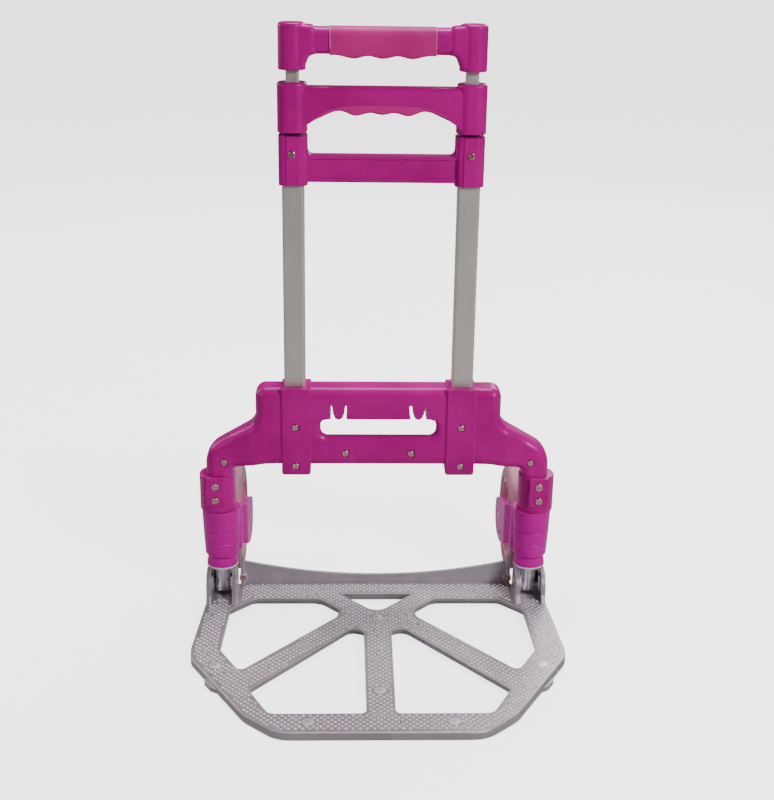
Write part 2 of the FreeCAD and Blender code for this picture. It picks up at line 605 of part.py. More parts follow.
def make_wheel_bracket():
    """The turning sleeve with its arm, the axle bolt and the nut."""
    outline = [V(LEG_X, 0, SLEEVE_Z[0])] + [V(LEG_X + r, 0, z) for r, z in SWING_PROFILE]
    outline.append(V(LEG_X, 0, SLEEVE_Z[1]))
    face = Part.Face(Part.makePolygon(outline + outline[:1]))
    sleeve = face.revolve(V(LEG_X, 0, 0), Z_AXIS, 360)
    for z in GROOVES:
        groove = Part.makeTorus(19.6, 1.1, V(LEG_X, 0, z), Z_AXIS)
        sleeve = sleeve.cut(groove)
    x0, x1 = ARM_X
    side = slab_yz([(-6, 108), (10, 106), (60, 92), (WHEEL_Y + 21, 76), (WHEEL_Y + 23, 38.0),
                    (WHEEL_Y - 22, 40.0), (28, 51.5), (12, 60), (-6, 60)],
                   [4, 30, 30, 16, 22, 18, 8, 8, 4], x0 - 5, LEG_X)
    plan = slab_xy([(x0 + 5.4, 0), (x0 + 5.4, 12), (x0, 21), (x0, WHEEL_Y + 30), (x1, WHEEL_Y + 30),
                    (x1, 26), (156, 15), (160, 6), (160, -4), (150, -4)],
                   [3, 6, 8, 0, 0, 5, 0, 0, 0, 0], 30, 130)
    arm = side.common(plan)
    bracket = sleeve.fuse(arm).removeSplitter()
    bore = rod(LEG_RADIUS + RUNNING, V(LEG_X, 0, 0), Z_AXIS, 200)
    axle_hole = rod(AXLE_RADIUS, V(x0 - 1, WHEEL_Y, WHEEL_RADIUS), X_AXIS, 12)
    recess = rod(BOLT_HEAD + 1.5, V(x0 - 1, WHEEL_Y, WHEEL_RADIUS), X_AXIS, 3)
    bracket = bracket.cut([bore, axle_hole, recess])
    outer_face = WHEEL_X + WHEEL_WIDTH / 2 + 0.8
    bolt = rod(BOLT_HEAD, V(x0, WHEEL_Y, WHEEL_RADIUS), X_AXIS, 2)
    bolt = soften(bolt, 0.8, lambda e: e.BoundBox.XMax < x0 + 0.1)
    bolt = bolt.fuse(rod(AXLE_RADIUS, V(x0 + 2, WHEEL_Y, WHEEL_RADIUS), X_AXIS,
                         outer_face + 4.5 - x0 - 2))
    corners = [V(outer_face, WHEEL_Y + 6.5 * math.cos(math.radians(60 * i)),
                 WHEEL_RADIUS + 6.5 * math.sin(math.radians(60 * i))) for i in range(6)]
    nut = Part.Face(Part.makePolygon(corners + corners[:1])).extrude(V(4.5, 0, 0))
    nut = nut.cut(rod(AXLE_RADIUS, V(outer_face - 1, WHEEL_Y, WHEEL_RADIUS), X_AXIS, 8))
    spacer = ring(7.0, AXLE_RADIUS, V(x1, WHEEL_Y, WHEEL_RADIUS), X_AXIS,
                  WHEEL_X - WHEEL_WIDTH / 2 - x1 - 0.4)
    for side_name, turn in (("right", lambda s: s), ("left", mirrored)):
        save("wheel_bracket_" + side_name, turn(bracket))
        save("axle_bolt_" + side_name, turn(bolt))
        save("axle_nut_" + side_name, turn(nut))
        save("axle_spacer_" + side_name, turn(spacer))


TYRE_INNER = 45.0
HUB_BOSS = 13.0
BUSH_OUTER = 7.5
SPOKES = 5


def make_wheel():
    """A soft tyre on a plastic hub with windows, turning on a bush."""
    x0 = WHEEL_X - WHEEL_WIDTH / 2
    x1 = WHEEL_X + WHEEL_WIDTH / 2
    start = V(x0, WHEEL_Y, WHEEL_RADIUS)
    tyre = rod(WHEEL_RADIUS, start, X_AXIS, WHEEL_WIDTH)
    tyre = soften(tyre, 5.0, lambda e: abs(e.BoundBox.ZLength - 2 * WHEEL_RADIUS) < 0.1
                  and e.BoundBox.XLength < 0.1)
    tyre = tyre.cut(rod(TYRE_INNER, start, X_AXIS, WHEEL_WIDTH))
    hub = ring(TYRE_INNER, TYRE_INNER - 4.5, V(x0 + 1, WHEEL_Y, WHEEL_RADIUS), X_AXIS,
               WHEEL_WIDTH - 2)
    hub = hub.fuse(rod(TYRE_INNER - 4.5, V(x0 + 8, WHEEL_Y, WHEEL_RADIUS), X_AXIS, 8))
    hub = hub.fuse(rod(HUB_BOSS, V(x0 + 0.5, WHEEL_Y, WHEEL_RADIUS), X_AXIS, WHEEL_WIDTH - 1))
    for i in range(SPOKES):
        window = rod(8.0, V(x0, WHEEL_Y + 27.5, WHEEL_RADIUS), X_AXIS, WHEEL_WIDTH)
        window.rotate(V(0, WHEEL_Y, WHEEL_RADIUS), X_AXIS, 360.0 * i / SPOKES + 18)
        hub = hub.cut(window)
    hub = hub.cut(rod(BUSH_OUTER, start, X_AXIS, WHEEL_WIDTH)).removeSplitter()
    bush = ring(BUSH_OUTER, AXLE_RADIUS + RUNNING, start, X_AXIS, WHEEL_WIDTH)
    for side_name, turn in (("right", lambda s: s), ("left", mirrored)):
        save("tyre_" + side_name, turn(tyre))
        save("wheel_hub_" + side_name, turn(hub))
        save("wheel_bush_" + side_name, turn(bush))


# ---------------------------------------------------------------- toe plate
PLATE_EDGE = [(0, 18), (150, 18), (153, 12), (183.8, 12), (183.8, -22), (PLATE_HALF_WIDTH, -125),
              (188.5, -145), (129, -247), (97, PLATE_FRONT)]
PLATE_EDGE_RADII = [0, 1, 1, 1, 3, 30, 25, 40, 35]
WINDOW_A = [(105.8, -244.5), (126.5, -203.5), (26.7, -85.0), (14.5, -90.0), (13.8, -244.5)]
WINDOW_A_RADII = [10, 6, 7, 9, 6]
WINDOW_B = [(138.0, -170.0), (160.3, -128.7), (156.8, -46.0), (149.5, -38.6), (132.0, -21.0),
            (62.5, -21.0), (39.0, -46.5), (43.0, -62.0)]
WINDOW_B_RADII = [6, 10, 12, 4, 8, 14, 10, 5]
TRIANGLE = [(-40, -9.8), (0, -52.5), (40, -9.8)]
TRIANGLE_RADII = [2.0, 14, 2.0]
FLANGE_Y = (15.0, 18.0)
FLANGE_HALF = 146.0
FLANGE_TOP = (20.0, 36.6)  # height of the flange at its middle and at its ends
RIB_TOP = 43.0
EAR_RADIUS = 18.5
EAR_X = (11.6, 16.2)      # inner and outer face of an ear from the leg's middle
LUG = [(172.5, -178.5), (164.5, -192.0), (158.0, -196.0), (166.0, -174.0)]
PIN_HEAD = 5.0


def arc_flange():
    """The upright flange along the plate's back edge; its top dips in the middle."""
    y0, y1 = FLANGE_Y
    dip, end = FLANGE_TOP
    top = Part.Arc(V(-FLANGE_HALF, y0, end), V(0, y0, dip), V(FLANGE_HALF, y0, end)).toShape()
    low_right = V(FLANGE_HALF, y0, 0)
    low_left = V(-FLANGE_HALF, y0, 0)
    wire = Part.Wire([top, Part.LineSegment(V(FLANGE_HALF, y0, end), low_right).toShape(),
                      Part.LineSegment(low_right, low_left).toShape(),
                      Part.LineSegment(low_left, V(-FLANGE_HALF, y0, end)).toShape()])
    return Part.Face(wire).extrude(V(0, y1 - y0, 0))


def ear(x0):
    """A cast ear beside the leg foot, round about the hinge pin."""
    thick = EAR_X[1] - EAR_X[0]
    lobe = rod(EAR_RADIUS, V(x0, HINGE_Y, HINGE_Z), X_AXIS, thick)
    back = HINGE_Y + EAR_RADIUS
    base = block(x0, x0 + thick, HINGE_Y - EAR_RADIUS, back, 0.5, HINGE_Z)
    front = slab_yz([(-37.0, 5.0), (HINGE_Y - EAR_RADIUS + 1, 5.0),
                     (HINGE_Y - EAR_RADIUS + 1, 18.0), (HINGE_Y - EAR_RADIUS - 0.5, 16.0)], 0,
                    x0, x0 + thick)
    return lobe.fuse([base, front])


def make_toe_plate():
    """The cast toe plate, its hinge pins and the small bolts in its ribs."""
    right = list(zip(PLATE_EDGE, PLATE_EDGE_RADII))
    left = [((-x, y), r) for (x, y), r in reversed(right[1:])]
    points = [p for p, _ in right[1:] + left]
    radii = [r for _, r in right[1:] + left]
    plate = slab_xy(points, radii, 0, PLATE_TOP)
    plate = soften(plate, 1.6, lambda e: e.BoundBox.ZMin > PLATE_TOP - 0.1
                   and e.BoundBox.YMin < -30)
    plate = soften(plate, 1.8, lambda e: e.BoundBox.ZMax < 0.1 and e.BoundBox.YMin < -30)
    under = PLATE_TOP - PLATE_SKIN
    for points, radii in ((WINDOW_A, WINDOW_A_RADII), (WINDOW_B, WINDOW_B_RADII)):
        for window in both_sides(slab_xy(points, radii, -1, PLATE_TOP + 1)):
            plate = plate.cut(window)
        for relief in both_sides(slab_xy(points, radii, -1, under, WINDOW_SETBACK)):
            plate = plate.cut(relief)
    plate = plate.cut(slab_xy(TRIANGLE, TRIANGLE_RADII, -1, PLATE_TOP + 1))
    plate = plate.cut(slab_xy(TRIANGLE, TRIANGLE_RADII, -1, under, WINDOW_SETBACK - 1.5))
    rims = []
    for lug in both_sides(slab_xy(LUG, [3, 5, 0, 0], 0, 5)):
        rims.append(lug)
    rims.append(arc_flange())
    y0, y1 = FLANGE_Y
    rib = slab_yz([(y1, 4), (y1, 30), (y1 - 3, RIB_TOP), (y1 - 5, RIB_TOP), (y0 - 2.5, 26),
                   (y0 - 4, 4)], [0, 20, 0.6, 0.6, 0, 0], FLANGE_HALF - 0.5, FLANGE_HALF + 3.5)
    boss = rod(4.5, V(FLANGE_HALF + 0.5, y0 - 4, 17), Y_AXIS, 7)
    for side_rib in both_sides(rib) + both_sides(boss):
        rims.append(side_rib)
    for x0 in (LEG_X + EAR_X[0], LEG_X - EAR_X[1]):
        rims += both_sides(ear(x0))
    plate = plate.fuse(rims).removeSplitter()
    holes = []
    pins = []
    for direction in (-1, 1):
        start = LEG_X + direction * (CHEEK[0] - 1.0)
        outer = LEG_X + direction * EAR_X[1]
        axis = V(direction, 0, 0)
        shank = rod(PIN_RADIUS, V(start, HINGE_Y, HINGE_Z), axis, abs(outer - start))
        head = rod(PIN_HEAD, V(outer, HINGE_Y, HINGE_Z), axis, 1.2)
        head = soften(head, 0.7, lambda e: abs(e.CenterOfMass.x - outer) > 1.1)
        holes += both_sides(shank)
        pins += both_sides(shank.fuse(head))
    bolt_start = V(FLANGE_HALF + 0.5, y0 - 6.2, 17)
    bolt = rod(3.2, bolt_start, Y_AXIS, 2.2).fuse(rod(1.6, bolt_start, Y_AXIS, 8.0))
    holes += both_sides(rod(1.6, bolt_start, Y_AXIS, 8.0))
    plate = plate.cut(holes)
    save("toe_plate", plate)
    save("hinge_pins", *pins)
    save("rib_bolts", *both_sides(bolt))


def main():
    """Write every sub-part."""
    os.makedirs("parts", exist_ok=True)
    make_body()
    make_body_screws()
    make_frame_tubes()
    make_crossbar()
    make_bushes()
    make_lower_handle()
    make_upper_handle()
    make_leg()
    make_wheel_bracket()
    make_wheel()
    make_toe_plate()


main()
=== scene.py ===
"""Looks of the folding luggage hand truck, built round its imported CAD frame."""

import json
import math

import bpy
from mathutils import Matrix, Vector
from mathutils.bvhtree import BVHTree


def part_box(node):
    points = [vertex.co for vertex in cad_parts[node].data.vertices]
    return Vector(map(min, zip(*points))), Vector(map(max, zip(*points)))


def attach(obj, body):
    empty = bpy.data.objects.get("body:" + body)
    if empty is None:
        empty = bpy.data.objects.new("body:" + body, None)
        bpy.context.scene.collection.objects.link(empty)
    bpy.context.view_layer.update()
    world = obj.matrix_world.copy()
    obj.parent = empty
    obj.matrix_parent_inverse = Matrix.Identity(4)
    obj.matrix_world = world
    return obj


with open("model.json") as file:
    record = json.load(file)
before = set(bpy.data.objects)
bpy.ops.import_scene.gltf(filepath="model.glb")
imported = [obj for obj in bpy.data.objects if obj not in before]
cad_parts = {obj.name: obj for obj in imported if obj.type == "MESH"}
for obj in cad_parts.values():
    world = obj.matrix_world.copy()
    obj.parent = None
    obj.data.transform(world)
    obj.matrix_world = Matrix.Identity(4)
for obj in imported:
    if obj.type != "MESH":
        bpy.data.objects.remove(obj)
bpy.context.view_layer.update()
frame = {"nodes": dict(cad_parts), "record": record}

MM = 0.001
NODES = frame["nodes"]
SIDES = ("left", "right")


# ---------------------------------------------------------------- camera
CAMERA_AT = (-35.6 * MM, -1264.0 * MM, 716.6 * MM)
CAMERA_YAW = math.radians(1.923)      # turned towards +X
CAMERA_PITCH = math.radians(20.0)     # looking down
CAMERA_ROLL = math.radians(0.875)
CAMERA_LENS = 60.8
CAMERA_SENSOR = 36.0
CAMERA_NEAR = 10 * MM


def make_camera():
    """The camera at the reference viewing angle."""
    data = bpy.data.cameras.new("camera")
    data.lens = CAMERA_LENS
    data.sensor_width = CAMERA_SENSOR
    data.clip_start = CAMERA_NEAR
    camera = bpy.data.objects.new("camera", data)
    bpy.context.collection.objects.link(camera)
    forward = Vector((math.sin(CAMERA_YAW) * math.cos(CAMERA_PITCH),
                      math.cos(CAMERA_YAW) * math.cos(CAMERA_PITCH),
                      -math.sin(CAMERA_PITCH)))
    level = Vector((math.cos(CAMERA_YAW), -math.sin(CAMERA_YAW), 0.0))
    upright = level.cross(forward)
    right = level * math.cos(CAMERA_ROLL) + upright * math.sin(CAMERA_ROLL)
    up = upright * math.cos(CAMERA_ROLL) - level * math.sin(CAMERA_ROLL)
    turn = Matrix((right, up, -forward)).transposed().to_4x4()
    camera.matrix_world = Matrix.Translation(CAMERA_AT) @ turn
    bpy.context.scene.camera = camera


# ---------------------------------------------------------------- floor, surround and lights
FRONT_GLOW = 0.32         # the surround lights the object dimly from the front
BACK_GLOW = 1.1           # and brightly from behind
GLOW_FROM = -0.6          # the glow grows between these two Y components of a direction
GLOW_TO = 0.35
SEEN_GLOW = 3.0           # how bright the surround is to the camera: as pale as the floor

FLOOR_REACH = 12.0
FLOOR_DROP = 0.4 * MM     # the floor lies this far under the object
FLOOR_PALE = 0.9          # how pale the floor is to the camera
FLOOR_DIM = 0.4           # and to the object, which would look washed out over a white floor
FLOOR_GLOW = 2.6          # the floor's own light, which only the camera sees
FLOOR_ROUGH = 0.9
FLOOR_SPECULAR = 0.1

LIGHT_TARGET = (0, 0, 0.28)
SOFT_BOXES = [            # name, place in metres, side in metres, watts
    ("key", (1.4, -1.6, 1.4), 0.55, 46),
    ("fill", (-1.6, -1.2, 1.1), 0.9, 6),
    ("top", (0.1, 0.6, 2.3), 1.0, 38),
    ("rear", (0.9, 1.9, 1.3), 0.9, 18),
    ("rim", (-1.5, 0.7, 0.9), 0.8, 10),
]


def soft_box(name, place, size, watts):
    """A square area light aimed at the middle of the object."""
    data = bpy.data.lights.new(name, "AREA")
    data.size = size
    data.energy = watts
    light = bpy.data.objects.new(name, data)
    bpy.context.collection.objects.link(light)
    aim = Vector(LIGHT_TARGET) - Vector(place)
    turn = aim.to_track_quat("-Z", "Y").to_matrix().to_4x4()
    light.matrix_world = Matrix.Translation(place) @ turn


def seen_by_camera(tree, lighting, seen, output):
    """Use one shader for the light that reaches the object and another for the camera."""
    ray = tree.nodes.new("ShaderNodeLightPath").outputs["Is Camera Ray"]
    mix = tree.nodes.new("ShaderNodeMixShader")
    tree.links.new(ray, mix.inputs["Fac"])
    tree.links.new(lighting, mix.inputs[1])
    tree.links.new(seen, mix.inputs[2])
    tree.links.new(mix.outputs["Shader"], output.inputs["Surface"])


def make_floor():
    """A pale floor that looks almost white and still takes a soft shadow."""
    mesh = bpy.data.meshes.new("floor")
    corners = [(-FLOOR_REACH, -FLOOR_REACH, 0), (FLOOR_REACH, -FLOOR_REACH, 0),
               (FLOOR_REACH, FLOOR_REACH, 0), (-FLOOR_REACH, FLOOR_REACH, 0)]
    mesh.from_pydata(corners, [], [(0, 1, 2, 3)])
    floor = bpy.data.objects.new("floor", mesh)
    floor.location.z = -FLOOR_DROP
    bpy.context.collection.objects.link(floor)
    material = bpy.data.materials.new("floor_white")
    material.use_nodes = True
    tree = material.node_tree
    dim = tree.nodes["Principled BSDF"]
    pale = tree.nodes.new("ShaderNodeBsdfPrincipled")
    for shader, grey in ((dim, FLOOR_DIM), (pale, FLOOR_PALE)):
        shader.inputs["Base Color"].default_value = (grey, grey, grey, 1)
        shader.inputs["Roughness"].default_value = FLOOR_ROUGH
        shader.inputs["Specular IOR Level"].default_value = FLOOR_SPECULAR
    pale.inputs["Emission Color"].default_value = (1, 1, 1, 1)
    pale.inputs["Emission Strength"].default_value = FLOOR_GLOW
    seen_by_camera(tree, dim.outputs["BSDF"], pale.outputs["BSDF"],
                   tree.nodes["Material Output"])
    mesh.materials.append(material)


def make_surround():
    """A pale world, dim in front of the object and bright behind it."""
    world = bpy.data.worlds.new("studio")
    bpy.context.scene.world = world
    world.use_nodes = True
    tree = world.node_tree
    background = tree.nodes["Background"]
    direction = tree.nodes.new("ShaderNodeTexCoord").outputs["Generated"]
    split = tree.nodes.new("ShaderNodeSeparateXYZ")
    tree.links.new(direction, split.inputs["Vector"])
    grade = tree.nodes.new("ShaderNodeMapRange")
    grade.interpolation_type = "SMOOTHSTEP"
    grade.inputs["From Min"].default_value = GLOW_FROM
    grade.inputs["From Max"].default_value = GLOW_TO
    grade.inputs["To Min"].default_value = FRONT_GLOW
    grade.inputs["To Max"].default_value = BACK_GLOW
    tree.links.new(split.outputs["Y"], grade.inputs["Value"])
    tree.links.new(grade.outputs["Result"], background.inputs["Strength"])
    pale = tree.nodes.new("ShaderNodeBackground")
    pale.inputs["Strength"].default_value = SEEN_GLOW
    seen_by_camera(tree, background.outputs[0], pale.outputs[0], tree.nodes["World Output"])


def make_studio():
    """The floor, the surround and the soft boxes."""
    make_floor()
    make_surround()
    for box in SOFT_BOXES:
        soft_box(*box)


# ---------------------------------------------------------------- materials
EDGE_SAMPLES = 6
EDGE_REACH = 1.1 * MM     # how far from an edge the rubbed wear and painted edge highlight reach
EDGE_RUBBED_AND_LIT = 0.88        # rounded against plain normal: fully rubbed and lit below this
EDGE_WHOLE = 0.985        # and untouched above this


class Shade:
    """A principled material under construction, with short ways to add nodes."""

    def __init__(self, name):
        self.material = bpy.data.materials.new(name)
        self.material.use_nodes = True
        self.tree = self.material.node_tree
        self.shader = self.tree.nodes["Principled BSDF"]
        self.coords = self.tree.nodes.new("ShaderNodeTexCoord").outputs["Object"]

    def set(self, **values):
        """Plain values on the shader's own sockets, named with underscores for spaces."""
        for key, value in values.items():
            self.shader.inputs[key.replace("_", " ")].default_value = value
        return self

    def link(self, source, target):
        """Join two sockets."""
        self.tree.links.new(source, target)

    def stretched(self, scale):
        """Object coordinates scaled by a different factor along each axis."""
        mapping = self.tree.nodes.new("ShaderNodeMapping")
        mapping.inputs["Scale"].default_value = scale
        self.link(self.coords, mapping.inputs["Vector"])
        return mapping.outputs["Vector"]

    def noise(self, scale, detail=3.0, rough=0.5, vector=None):
        """Noise with this many features per metre."""
        node = self.tree.nodes.new("ShaderNodeTexNoise")
        node.inputs["Scale"].default_value = scale
        node.inputs["Detail"].default_value = detail
        node.inputs["Roughness"].default_value = rough
        self.link(vector or self.coords, node.inputs["Vector"])
        return node.outputs["Fac"]

    def cells(self, scale):
        """Distance to the nearest of scattered points: a grain of cells."""
        node = self.tree.nodes.new("ShaderNodeTexVoronoi")
        node.inputs["Scale"].default_value = scale
        self.link(self.coords, node.inputs["Vector"])
        return node.outputs["Distance"]

    def ramp(self, factor, stops):
        """Colours or greys along a factor; stops are (position, colour)."""
        node = self.tree.nodes.new("ShaderNodeValToRGB")
        points = node.color_ramp.elements
        while len(points) < len(stops):
            points.new(0.5)
        for point, (position, color) in zip(points, stops):
            point.position = position
            grey = isinstance(color, (int, float))
            point.color = (color, color, color, 1) if grey else (*color, 1)
        self.link(factor, node.inputs["Fac"])
        return node.outputs["Color"]

    def mix(self, factor, first, second):
        """Two colours, each a socket or a tuple, mixed by a factor socket."""
        node = self.tree.nodes.new("ShaderNodeMix")
        node.data_type = "RGBA"
        self.link(factor, node.inputs["Factor"])
        for value, socket in ((first, node.inputs["A"]), (second, node.inputs["B"])):
            if isinstance(value, tuple):
                socket.default_value = (*value, 1)
            else:
                self.link(value, socket)
        return node.outputs["Result"]

    def rounding(self, radius):
        """The surface's normal with its sharp edges rounded by a radius in metres."""
        node = self.tree.nodes.new("ShaderNodeBevel")
        node.samples = EDGE_SAMPLES
        node.inputs["Radius"].default_value = radius
        return node.outputs["Normal"]

    def rubbed_and_lit_edges(self):
        """A mask that is light along edges, where the rounded normal leaves the plain one: rubbed
        wear and a painted edge highlight.
        """
        own = self.tree.nodes.new("ShaderNodeNewGeometry").outputs["Normal"]
        node = self.tree.nodes.new("ShaderNodeVectorMath")
        node.operation = "DOT_PRODUCT"
        self.link(self.rounding(EDGE_REACH), node.inputs[0])
        self.link(own, node.inputs[1])
        # light edges: rubbed wear and a painted edge highlight
        return self.ramp(node.outputs["Value"], [(EDGE_RUBBED_AND_LIT, 1.0), (EDGE_WHOLE, 0.0)])

    def color(self, socket):
        """Drive the base colour."""
        self.link(socket, self.shader.inputs["Base Color"])
        return self

    def rough(self, factor, low, high):
        """Drive the roughness between two values by a factor."""
        level = self.ramp(factor, [(0.3, low), (0.7, high)])
        self.link(level, self.shader.inputs["Roughness"])
        return self

    def bump(self, height, distance, strength, edge=0.0):
        """A fine relief; edge is how far sharp edges look rounded, in metres."""
        node = self.tree.nodes.new("ShaderNodeBump")
        node.inputs["Strength"].default_value = strength
        node.inputs["Distance"].default_value = distance
        self.link(height, node.inputs["Height"])
        self.link(node.outputs["Normal"], self.shader.inputs["Normal"])
        if edge:
            self.link(self.rounding(edge), node.inputs["Normal"])
        return self


WHITE = (1.0, 1.0, 1.0, 1.0)
MAGENTA_SHEEN = (1.0, 0.35, 1.0, 1.0)


def plastic(name, deep, bright, worn_and_lit, rough=(0.26, 0.38), sheen=WHITE):
    """Moulded plastic: faint flow marks, fine orange peel, edges lighter with rubbed wear and a
    painted highlight.
    """
    shade = Shade(name)
    flow = shade.noise(14, 4.0, 0.55)
    base = shade.ramp(flow, [(0.3, deep), (0.7, bright)])
    # Lighter edges: rubbed wear and a painted edge highlight.
    base = shade.mix(shade.rubbed_and_lit_edges(), base, worn_and_lit)
    shade.color(base).rough(shade.noise(90, 5.0, 0.6), *rough)
    shade.bump(shade.noise(1500, 2.0), 0.06 * MM, 0.3, edge=0.9 * MM)
    return shade.set(Specular_IOR_Level=0.45, Specular_Tint=sheen).material


def soft_grip(name, deep, bright):
    """Soft rubbery grip with a fine pebble grain."""
    shade = Shade(name)
    base = shade.ramp(shade.noise(30, 4.0), [(0.3, deep), (0.7, bright)])
    shade.color(base).rough(shade.noise(300, 3.0), 0.42, 0.56)
    shade.bump(shade.cells(1600), 0.08 * MM, 0.35, edge=0.9 * MM)
    shade.set(Sheen_Weight=0.05, Sheen_Roughness=0.5, Specular_IOR_Level=0.3)
    return shade.material


def drawn_tube(name, deep, bright, rough):
    """Drawn and anodised metal: fine lines along its length and a satin sheen."""
    shade = Shade(name)
    lines = shade.noise(1.0, 3.0, 0.6, shade.stretched((1400, 1400, 12)))
    clouds = shade.noise(22, 3.0)
    base = shade.mix(clouds, shade.ramp(lines, [(0.3, deep), (0.7, bright)]), bright)
    shade.color(base).rough(lines, rough - 0.05, rough + 0.07)
    shade.bump(lines, 0.03 * MM, 0.25)
    return shade.set(Metallic=0.7).material


def cast_metal(name, deep, bright, rough=(0.34, 0.5), grain=0.35):
    """Sand-cast and tumbled aluminium: mottled, slightly lilac, bright on its edges with tumbled
    wear and a painted highlight.
    """
    shade = Shade(name)
    mottle = shade.noise(60, 6.0, 0.65)
    base = shade.ramp(mottle, [(0.25, deep), (0.75, bright)])
    # Near-white edges: tumbled wear and a painted edge highlight.
    base = shade.mix(shade.rubbed_and_lit_edges(), base, (0.90, 0.86, 0.89))
    shade.color(base).rough(shade.noise(240, 4.0), *rough)
    shade.bump(shade.noise(900, 4.0, 0.6), 0.1 * MM, grain, edge=0.6 * MM)
    return shade.set(Metallic=0.75).material


def polished(name, tint, rough):
    """Plated metal with faint smears."""
    shade = Shade(name)
    smear = shade.noise(45, 5.0, 0.6)
    darker = tuple(c * 0.86 for c in tint)
    shade.color(shade.ramp(smear, [(0.35, darker), (0.65, tint)]))
    shade.rough(smear, rough, rough + 0.07)
    shade.bump(shade.noise(700, 2.0), 0.02 * MM, 0.2)
    return shade.set(Metallic=1.0).material


# The edge colours below are for rubbed wear and a painted edge highlight.
MAGENTA = {"deep": (0.40, 0.0, 0.18), "bright": (0.54, 0.0004, 0.265),
           "worn_and_lit": (0.60, 0.008, 0.33), "sheen": MAGENTA_SHEEN}
# The wheel brackets take a lighter, more violet copy of the magenta plastic: painted light.
LIT_MAGENTA = {"deep": (0.50, 0.0, 0.27), "bright": (0.63, 0.0006, 0.37),
          "worn_and_lit": (0.70, 0.012, 0.45), "sheen": MAGENTA_SHEEN}
WHITE_NYLON = {"deep": (0.72, 0.71, 0.72), "bright": (0.80, 0.79, 0.80),
               "worn_and_lit": (0.88, 0.88, 0.88), "rough": (0.4, 0.5)}
DARK_BUSH = {"deep": (0.12, 0.002, 0.06), "bright": (0.18, 0.004, 0.09),
             "worn_and_lit": (0.25, 0.01, 0.14), "rough": (0.35, 0.5)}
PINK_HUB = {"deep": (0.72, 0.30, 0.40), "bright": (0.84, 0.42, 0.50),
            "worn_and_lit": (0.92, 0.6, 0.66), "rough": (0.3, 0.42)}


def make_materials():
    """Every finish, by the record's slot name, and a lighter copy of the magenta plastic for the
    wheel brackets, which is painted light.
    """
    return {
        "body_plastic": plastic("magenta_plastic", **MAGENTA),
        "bracket_lit_plastic": plastic("lit_magenta_plastic", **LIT_MAGENTA),
        "grip_soft": soft_grip("pink_grip", (0.50, 0.006, 0.19), (0.62, 0.012, 0.25)),
        "tube_aluminium": drawn_tube("anodised_tube", (0.56, 0.505, 0.465),
                                     (0.72, 0.665, 0.615), 0.38),
        "cast_aluminium": cast_metal("cast_aluminium", (0.41, 0.36, 0.405),
                                     (0.54, 0.485, 0.535)),
        "chrome": polished("chrome", (0.88, 0.88, 0.92), 0.2),
        # The pinkish tint of the zinc is a painted reflection of the magenta plastic round the
        # screws.
        "zinc": polished("zinc_with_painted_reflection", (0.78, 0.47, 0.48), 0.22),
        "nylon_white": plastic("white_nylon", **WHITE_NYLON),
        "inner_plastic": plastic("dark_bush", **DARK_BUSH),
        "tyre": soft_grip("tyre_rubber", (0.44, 0.17, 0.25), (0.56, 0.25, 0.34)),
        "hub_plastic": plastic("pink_hub", **PINK_HUB),
    }


# ---------------------------------------------------------------- the carried-over CAD nodes
def dress_nodes(materials):
    """Give every CAD node the finish of its slot in the record, but the wheel brackets a lighter
    copy of the magenta plastic: painted light.
    """
    for part in frame["record"]["subparts"]:
        node = NODES[part["node"]]
        is_bracket = "wheel_bracket" in part["node"]
        # painted light: the wheel brackets get the lighter copy of the magenta plastic
        finish = "bracket_lit_plastic" if is_bracket else part["material_slot"]
        node.data.materials.clear()
        node.data.materials.append(materials[finish])


# ---------------------------------------------------------------- studs and pads on the plate
STUD_PITCH = 6.6 * MM     # between studs in a row
STUD_ROW = 3.5 * MM       # between rows; every other row is shifted by half a pitch
STUD_RINGS = [(1.65 * MM, -0.1 * MM), (1.45 * MM, 0.45 * MM), (0.95 * MM, 0.85 * MM)]
STUD_HEIGHT = 1.0 * MM
STUD_SIDES = 8
STUD_BORDER = 3.4 * MM    # the plate is smooth this close to an edge
HINGE_BORDER = 5.0 * MM   # and this close to the hinge brackets
PAD_RADIUS = 6.0 * MM     # smooth round pads left by the ejector pins
PAD_RINGS = [(6.0 * MM, -0.1 * MM), (5.7 * MM, 0.22 * MM), (4.6 * MM, 0.3 * MM)]
PAD_HEIGHT = 0.26 * MM    # a pad's middle is slightly hollow
PAD_SIDES = 32
PADS = [(0, 214.5), (0, 71.5),          # x, and distance from the plate's front edge, in mm
        (163, 118.5), (-163, 118.5),
        (68, 18.5), (-68, 18.5)]
PLATE_TOP = 9.0 * MM
TOP_TOLERANCE = 0.2 * MM
PROBE_HEIGHT = 100 * MM   # rays down to the plate start here


def new_piece(name, verts, faces, material, body):
    """A smooth mesh piece that rides on a body and takes a slot's finish."""
    mesh = bpy.data.meshes.new(name)
    mesh.from_pydata(verts, [], faces)
    mesh.materials.append(material)
    mesh.shade_smooth()
    piece = bpy.data.objects.new(name, mesh)
    bpy.context.collection.objects.link(piece)
    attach(piece, body)


def add_dome(verts, faces, center, rings, height, sides):
    """One closed bump of revolution: (radius, height) rings from its foot, then a top point."""
    x, y, z = center
    first = len(verts)
    for radius, lift in rings:
        for i in range(sides):
            turn = 2 * math.pi * i / sides
            verts.append((x + radius * math.cos(turn), y + radius * math.sin(turn), z + lift))
    verts.append((x, y, z + height))
    top = len(verts) - 1
    for r in range(len(rings) - 1):
        for i in range(sides):
            j = (i + 1) % sides
            low = first + r * sides
            faces.append((low + i, low + j, low + sides + j, low + sides + i))
    last = first + (len(rings) - 1) * sides
    for i in range(sides):
        faces.append((last + i, last + (i + 1) % sides, top))
    faces.append(tuple(first + i for i in reversed(range(sides))))


